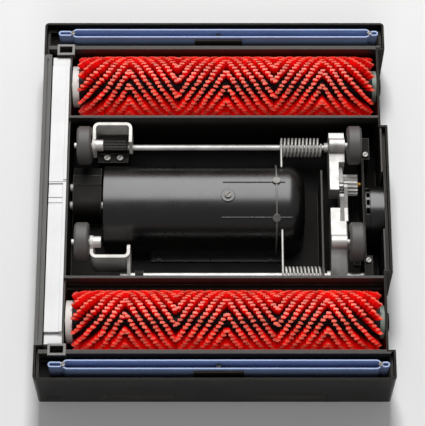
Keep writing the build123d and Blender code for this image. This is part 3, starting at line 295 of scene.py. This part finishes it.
def chevron_brush():
    """Tufts in chevron rows on a roller: each tuft is a splayed bundle of flat-cut strands."""
    sizes = [("Left", "Float"), ("Right", "Float"), ("Axis Y", "Float"), ("Axis Z", "Float"),
             ("Core Radius", "Float"), ("Tip Radius", "Float"), ("Rows", "Int"),
             ("Tufts per Row", "Int"), ("Peak X", "Float"), ("Half Period", "Float"),
             ("Slope", "Float"), ("Peak Angle", "Float"), ("Strands", "Int"),
             ("Strand Radius", "Float"), ("Tuft Radius", "Float"), ("Flatness", "Float"),
             ("Splay", "Float"), ("Fan Width", "Float"), ("Fan", "Float"), ("Seed", "Int"),
             ("Material", "Material")]
    tree, g, result = new_tree("chevron_brush", sizes)
    golden_turn = math.radians(137.5)
    root_taper = 0.75           # a strand's width at the root, against its cut end
    shortest_cut = 0.94         # of a strand's full length
    stray_by = 0.04             # how far a tuft leans off its place, against its length
    twist_by = 0.25             # radians either way
    root_sunk = 0.2 * MM        # into the core

    # one tuft: strands spread over an oval by the golden angle, leaning outward
    length = put(tree, MATH, g["Tip Radius"], g["Core Radius"], operation="SUBTRACT")
    number = put(tree, "GeometryNodeInputIndex")
    count_on = put(tree, MATH, number, 0.5, operation="ADD")
    share = put(tree, MATH, count_on, g["Strands"], operation="DIVIDE")
    reach = put(tree, MATH, put(tree, MATH, share, operation="SQRT"), g["Tuft Radius"],
                operation="MULTIPLY")
    round_by = put(tree, MATH, number, golden_turn, operation="MULTIPLY")
    cosine = put(tree, MATH, round_by, operation="COSINE")
    foot_x = put(tree, MATH, reach, cosine, operation="MULTIPLY")
    narrow = put(tree, MATH, reach, g["Flatness"], operation="MULTIPLY")
    sine = put(tree, MATH, round_by, operation="SINE")
    foot_y = put(tree, MATH, narrow, sine, operation="MULTIPLY")
    foot = put(tree, "ShaderNodeCombineXYZ", foot_x, foot_y, 0.0)
    strand_points = put(tree, "GeometryNodePoints", g["Strands"], foot)
    spread = put(tree, MATH, g["Splay"], g["Tuft Radius"], operation="DIVIDE")
    lean = put(tree, "ShaderNodeCombineXYZ", put(tree, MATH, foot_x, spread, operation="MULTIPLY"),
               put(tree, MATH, foot_y, spread, operation="MULTIPLY"), 1.0)
    root_radius = put(tree, MATH, g["Strand Radius"], root_taper, operation="MULTIPLY")
    strand = put(tree, "GeometryNodeMeshCone", fill_type="NGON", named={
        "Vertices": 3, "Side Segments": 1, "Radius Top": g["Strand Radius"],
        "Radius Bottom": root_radius, "Depth": length})
    height = put(tree, "ShaderNodeSeparateXYZ", put(tree, "GeometryNodeInputPosition")).outputs["Z"]
    up_strand = put(tree, MATH, height, length, operation="DIVIDE")
    marked = put(tree, "GeometryNodeStoreNamedAttribute", data_type="FLOAT", domain="POINT", named={
        "Geometry": strand, "Name": "along", "Value": up_strand})
    cut = put(tree, "FunctionNodeRandomValue", data_type="FLOAT", named={
        FLOAT_MIN: shortest_cut, FLOAT_MAX: 1.0, "Seed": 3})
    stretch = put(tree, "ShaderNodeCombineXYZ", 1.0, 1.0, cut.outputs[FLOAT_OUT])
    stand = put(tree, "FunctionNodeAlignRotationToVector", axis="Z", named={"Vector": lean})
    strands = put(tree, "GeometryNodeInstanceOnPoints", named={
        "Points": strand_points, "Instance": marked, "Rotation": stand, "Scale": stretch})
    tuft = put(tree, "GeometryNodeRealizeInstances", strands)

    # the field: rows that climb and fall round the roller like chevrons
    place = put(tree, "GeometryNodeInputIndex")
    mid_place = put(tree, MATH, place, 0.5, operation="ADD")
    rows_on = put(tree, MATH, mid_place, g["Tufts per Row"], operation="DIVIDE")
    row = put(tree, MATH, rows_on, operation="FLOOR")
    row_start = put(tree, MATH, row, g["Tufts per Row"], operation="MULTIPLY")
    step = put(tree, MATH, place, row_start, operation="SUBTRACT")
    last = put(tree, MATH, g["Tufts per Row"], 1.0, operation="SUBTRACT")
    x = put(tree, "ShaderNodeMapRange", step, 0.0, last, g["Left"], g["Right"])
    off_peak = put(tree, MATH, x, g["Peak X"], operation="SUBTRACT")
    fold = put(tree, MATH, off_peak, g["Half Period"], operation="PINGPONG")
    climb = put(tree, MATH, fold, g["Slope"], g["Peak Angle"], operation="MULTIPLY_ADD")
    row_turn = put(tree, MATH, math.tau, g["Rows"], operation="DIVIDE")
    angle = put(tree, MATH, row, row_turn, climb, operation="MULTIPLY_ADD")
    side = put(tree, MATH, put(tree, MATH, angle, operation="SINE"), -1.0, operation="MULTIPLY")
    up = put(tree, MATH, angle, operation="COSINE")
    sunk = put(tree, MATH, g["Core Radius"], root_sunk, operation="SUBTRACT")
    base = put(tree, "ShaderNodeCombineXYZ", x,
               put(tree, MATH, sunk, side, g["Axis Y"], operation="MULTIPLY_ADD"),
               put(tree, MATH, sunk, up, g["Axis Z"], operation="MULTIPLY_ADD"))
    total = put(tree, MATH, g["Rows"], g["Tufts per Row"], operation="MULTIPLY")
    field = put(tree, "GeometryNodePoints", total, base)

    # the outermost tufts fan out over the ends of the roller
    left_edge = put(tree, MATH, g["Left"], g["Fan Width"], operation="ADD")
    right_edge = put(tree, MATH, g["Right"], g["Fan Width"], operation="SUBTRACT")
    minus_fan = put(tree, MATH, g["Fan"], -1.0, operation="MULTIPLY")
    left_fan = put(tree, "ShaderNodeMapRange", x, g["Left"], left_edge, minus_fan, 0.0)
    right_fan = put(tree, "ShaderNodeMapRange", x, right_edge, g["Right"], 0.0, g["Fan"])
    fan = put(tree, MATH, left_fan, right_fan, operation="ADD")
    stray = put(tree, "FunctionNodeRandomValue", data_type="FLOAT_VECTOR", named={
        VECTOR_MIN: (-stray_by,) * 3, VECTOR_MAX: (stray_by,) * 3, "Seed": g["Seed"]})
    outward = put(tree, "ShaderNodeCombineXYZ", fan, side, up)
    aim = put(tree, "ShaderNodeVectorMath", outward, stray, operation="ADD")
    twist_seed = put(tree, MATH, g["Seed"], 7.0, operation="ADD")
    twist = put(tree, "FunctionNodeRandomValue", data_type="FLOAT", named={
        FLOAT_MIN: -twist_by, FLOAT_MAX: twist_by, "Seed": twist_seed})
    upright = put(tree, "FunctionNodeAlignRotationToVector", axis="Z", named={"Vector": aim})
    spin = put(tree, "FunctionNodeAxisAngleToRotation", (0, 0, 1), twist.outputs[FLOAT_OUT])
    pose = put(tree, "FunctionNodeRotateRotation", upright, spin, rotation_space="LOCAL")
    planted = put(tree, "GeometryNodeInstanceOnPoints", named={
        "Points": field, "Instance": tuft, "Rotation": pose})
    dye_seed = put(tree, MATH, g["Seed"], 13.0, operation="ADD")
    dye = put(tree, "FunctionNodeRandomValue", data_type="FLOAT", named={"Seed": dye_seed})
    shaded = put(tree, "GeometryNodeStoreNamedAttribute", data_type="FLOAT", domain="INSTANCE",
                 named={"Geometry": planted, "Name": "shade", "Value": dye.outputs[FLOAT_OUT]})
    real = put(tree, "GeometryNodeRealizeInstances", shaded)
    dyed = put(tree, "GeometryNodeSetMaterial", named={
        "Geometry": real, "Material": g["Material"]})
    tree.links.new(dyed.outputs[0], result.inputs[0])
    return tree


def torsion_spring():
    """A torsion spring: open turns along X and a straight leg that leaves the first turn."""
    sizes = [("Left", "Float"), ("Length", "Float"), ("Turns", "Int"), ("Axis Y", "Float"),
             ("Axis Z", "Float"), ("Radius", "Float"), ("Wire", "Float"), ("Leg Y", "Float"),
             ("Turn Sign", "Float"), ("Material", "Material")]
    tree, g, result = new_tree("torsion_spring", sizes)
    steps_per_turn = 24.0
    wire_sides = 10
    line = put(tree, "GeometryNodeCurvePrimitiveLine")
    steps = put(tree, MATH, g["Turns"], steps_per_turn, operation="MULTIPLY")
    many = put(tree, "GeometryNodeResampleCurve", named={"Curve": line, "Count": steps})
    along = put(tree, "GeometryNodeSplineParameter").outputs["Factor"]
    whole = put(tree, MATH, g["Turns"], math.tau, operation="MULTIPLY")
    turn = put(tree, MATH, along, whole, operation="MULTIPLY")
    handed = put(tree, MATH, g["Radius"], g["Turn Sign"], operation="MULTIPLY")
    sine = put(tree, MATH, turn, operation="SINE")
    cosine = put(tree, MATH, turn, operation="COSINE")
    spot = put(tree, "ShaderNodeCombineXYZ",
               put(tree, MATH, along, g["Length"], g["Left"], operation="MULTIPLY_ADD"),
               put(tree, MATH, handed, sine, g["Axis Y"], operation="MULTIPLY_ADD"),
               put(tree, MATH, g["Radius"], cosine, g["Axis Z"], operation="MULTIPLY_ADD"))
    helix = put(tree, "GeometryNodeSetPosition", named={"Geometry": many, "Position": spot})
    top = put(tree, MATH, g["Axis Z"], g["Radius"], operation="ADD")
    leg = put(tree, "GeometryNodeCurvePrimitiveLine", named={
        "Start": put(tree, "ShaderNodeCombineXYZ", g["Left"], g["Leg Y"], top),
        "End": put(tree, "ShaderNodeCombineXYZ", g["Left"], g["Axis Y"], top)})
    both = put(tree, "GeometryNodeJoinGeometry")
    tree.links.new(helix.outputs[0], both.inputs[0])
    tree.links.new(leg.outputs[0], both.inputs[0])
    section = put(tree, "GeometryNodeCurvePrimitiveCircle", named={
        "Resolution": wire_sides, "Radius": g["Wire"]})
    wire = put(tree, "GeometryNodeCurveToMesh", named={
        "Curve": both, "Profile Curve": section, "Fill Caps": True})
    soft = put(tree, "GeometryNodeSetShadeSmooth", named={"Geometry": wire, "Shade Smooth": True})
    real = put(tree, "GeometryNodeRealizeInstances", soft)
    made = put(tree, "GeometryNodeSetMaterial", named={
        "Geometry": real, "Material": g["Material"]})
    tree.links.new(made.outputs[0], result.inputs[0])
    return tree


# ---------------------------------------------------------------- brushes
brush = chevron_brush()
for end, peak_angle, seed in (("far", 22.6, 11), ("near", 32.8, 23)):
    low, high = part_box("bristles_" + end)
    core_low, core_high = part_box("brush_core_" + end)
    grow(brush, "tufts_" + end, {
        "Left": low.x + 8.0 * MM, "Right": high.x - 9.0 * MM, "Axis Y": (low.y + high.y) / 2,
        "Axis Z": (low.z + high.z) / 2, "Core Radius": (core_high.z - core_low.z) / 2,
        "Tip Radius": (high.z - low.z) / 2 - 0.2 * MM, "Rows": 12, "Tufts per Row": 118,
        "Peak X": 14.2 * MM, "Half Period": 60.2 * MM, "Slope": math.radians(2.4) / MM,
        "Peak Angle": math.radians(peak_angle), "Strands": 15, "Strand Radius": 0.95 * MM,
        "Tuft Radius": 2.2 * MM, "Flatness": 0.5, "Splay": 0.045, "Fan Width": 24 * MM, "Fan": 0.6,
        "Seed": seed, "Material": finishes["nylon"]}, "brush_" + end, "bristles_" + end)

# ---------------------------------------------------------------- springs
coil = torsion_spring()
wire_r = 1.35 * MM
for end, sign in (("far", 1.0), ("near", -1.0)):
    low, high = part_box("spring_" + end)
    shaft_low, shaft_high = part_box("lift_shaft_" + end)
    axis_z = (shaft_low.z + shaft_high.z) / 2
    grow(coil, "coil_" + end, {
        "Left": low.x + wire_r, "Length": high.x - low.x - 2 * wire_r, "Turns": 11,
        "Axis Y": (shaft_low.y + shaft_high.y) / 2, "Axis Z": axis_z,
        "Radius": high.z - wire_r - axis_z, "Wire": wire_r,
        "Leg Y": low.y if sign > 0 else high.y, "Turn Sign": sign,
        "Material": finishes["spring"]}, "base", "spring_" + end)

# ---------------------------------------------------------------- floor, light and camera
floor_material, tree = new_finish("pale_floor")
put(tree, "ShaderNodeOutputMaterial", put(tree, "ShaderNodeBsdfDiffuse", srgb("#e4e4e4")))
floor_mesh = bpy.data.meshes.new("floor")
half = 4.0
corners = [(-half, -half, 0), (half, -half, 0), (half, half, 0), (-half, half, 0)]
floor_mesh.from_pydata(corners, [], [(0, 1, 2, 3)])
floor_mesh.materials.append(floor_material)
floor = bpy.data.objects.new("floor", floor_mesh)
bpy.context.scene.collection.objects.link(floor)

world = bpy.data.worlds.new("studio")
world.use_nodes = True
world.node_tree.nodes.clear()
sky = put(world.node_tree, "ShaderNodeBackground", srgb("#ffffff"), 0.2)
put(world.node_tree, "ShaderNodeOutputWorld", sky)
bpy.context.scene.world = world


def softbox(name, lean, distance, width, height, radiance, seen_by):
    """A soft light, tilted off the vertical towards +Y in degrees, that one kind of ray sees."""
    data = bpy.data.lights.new(name, "AREA")
    data.shape = "RECTANGLE"
    data.size = width
    data.size_y = height
    data.energy = radiance * math.pi * width * height
    lamp = bpy.data.objects.new(name, data)
    lean = math.radians(lean)
    lamp.location = Vector((0.0, math.sin(lean), math.cos(lean))) * distance
    lamp.rotation_euler = (-lamp.location).to_track_quat("-Z", "Y").to_euler()
    lamp.visible_diffuse = seen_by == "diffuse"
    lamp.visible_glossy = seen_by == "glossy"
    bpy.context.scene.collection.objects.link(lamp)


# a small overhead light gives form and a short shadow, a weak one opens up the near side,
# and a tall white panel gives plastic and metal their broad sheen
softbox("overhead", 26, 3.0, 0.6, 0.6, 69, "diffuse")
softbox("fill", -40, 3.0, 1.2, 1.2, 3.5, "diffuse")
softbox("panel", 37, 2.6, 2.0, 3.4, 3.9, "glossy")

camera_data = bpy.data.cameras.new("camera")
camera_data.sensor_fit = "HORIZONTAL"
camera_data.sensor_width = 36.0
camera_data.lens = 168.23
camera_data.clip_end = 20.0
camera = bpy.data.objects.new("camera", camera_data)
camera.location = (-2.5 * MM, -971.2 * MM, 2330.4 * MM)
look = Vector((-2.5 * MM, -24.5 * MM, 100 * MM))
camera.rotation_euler = (look - camera.location).to_track_quat("-Z", "Y").to_euler()
bpy.context.scene.collection.objects.link(camera)
bpy.context.scene.camera = camera

bpy.context.scene.view_settings.view_transform = "Standard"
